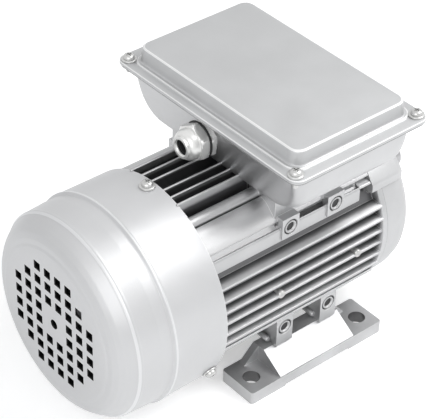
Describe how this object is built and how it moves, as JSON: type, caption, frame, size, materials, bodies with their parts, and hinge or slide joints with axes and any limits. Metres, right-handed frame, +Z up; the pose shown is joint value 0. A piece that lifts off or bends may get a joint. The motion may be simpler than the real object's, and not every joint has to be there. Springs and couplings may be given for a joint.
{
  "type": "single-phase electric motor",
  "caption": "Foot-mounted totally enclosed single-phase motor with finned barrel, fan cowl with square-hole grille, top terminal box with gland, and keyed shaft.",
  "frame": {"origin": "centre of the four foot hole axes, on the plane the feet rest on", "axes": "+X along the shaft towards its free end, +Z up through the terminal box, +Y to the left of someone looking along +X"},
  "size_m": [0.3091, 0.184, 0.198],
  "materials": {
    "frame_paint": "satin",
    "cover_paint": "satin",
    "cowl_paint": "satin",
    "zinc_steel": "satin",
    "bare_steel": "machined",
    "bearing_steel": "polished",
    "lamination": "dull",
    "copper_winding": "lacquered",
    "cast_cage": "as cast",
    "gland_metal": "nickel plated",
    "brass_links": "satin",
    "black_rubber": "dull",
    "fan_plastic": "matt",
    "board_plastic": "matt",
    "can_plastic": "gloss"
  },
  "bodies": {
    "housing": {"stator_frame": "frame_paint", "drive_end_shield": "frame_paint", "rear_end_shield": "frame_paint", "left_foot": "frame_paint", "right_foot": "frame_paint", "terminal_box_base": "frame_paint", "terminal_box_cover": "cover_paint", "fan_cover": "cowl_paint", "stator_core": "lamination", "stator_winding": "copper_winding", "drive_bearing_outer_ring": "bearing_steel", "rear_bearing_outer_ring": "bearing_steel", "drive_shaft_seal": "black_rubber", "preload_washer": "bare_steel", "drive_shield_screws": "zinc_steel", "rear_shield_screws": "zinc_steel", "stator_lock_screws": "zinc_steel", "foot_screws": "zinc_steel", "fan_cover_screws": "zinc_steel", "fan_cover_washers": "zinc_steel", "cover_screws": "zinc_steel", "cover_washers": "zinc_steel", "box_base_screws": "zinc_steel", "strap_screw": "zinc_steel", "terminal_board_screws": "zinc_steel", "earth_screw": "brass_links", "capacitor_strap": "zinc_steel", "box_pad_gasket": "black_rubber", "cover_gasket": "black_rubber", "run_capacitor": "can_plastic", "terminal_board": "board_plastic", "terminal_studs": "brass_links", "terminal_links": "brass_links", "terminal_nuts": "brass_links", "gland_ring_seal": "black_rubber", "gland_body": "gland_metal", "gland_nut": "gland_metal", "gland_seal": "black_rubber", "gland_locknut": "gland_metal"},
    "rotor": {"shaft": "bare_steel", "shaft_key": "bare_steel", "rotor_core": "lamination", "rotor_cage": "cast_cage", "drive_bearing_inner_ring": "bearing_steel", "rear_bearing_inner_ring": "bearing_steel", "fan": "fan_plastic", "fan_circlip": "bare_steel"},
    "drive_ball_set": {"drive_bearing_balls": "bearing_steel", "drive_bearing_cage": "bearing_steel"},
    "rear_ball_set": {"rear_bearing_balls": "bearing_steel", "rear_bearing_cage": "bearing_steel"}
  },
  "joints": [
    {"name": "rotor_spin", "type": "hinge", "parent": "housing", "child": "rotor", "pos_m": [0, 0, 0.08], "axis": [1, 0, 0], "continuous": true},
    {"name": "drive_balls_spin", "type": "hinge", "parent": "housing", "child": "drive_ball_set", "pos_m": [0.085, 0, 0.08], "axis": [1, 0, 0], "continuous": true},
    {"name": "rear_balls_spin", "type": "hinge", "parent": "housing", "child": "rear_ball_set", "pos_m": [-0.0962, 0, 0.08], "axis": [1, 0, 0], "continuous": true}
  ],
  "couplings": [
    {"joint": "drive_balls_spin", "follows": "rotor_spin", "ratio": 0.3815},
    {"joint": "rear_balls_spin", "follows": "rotor_spin", "ratio": 0.3815}
  ]
}
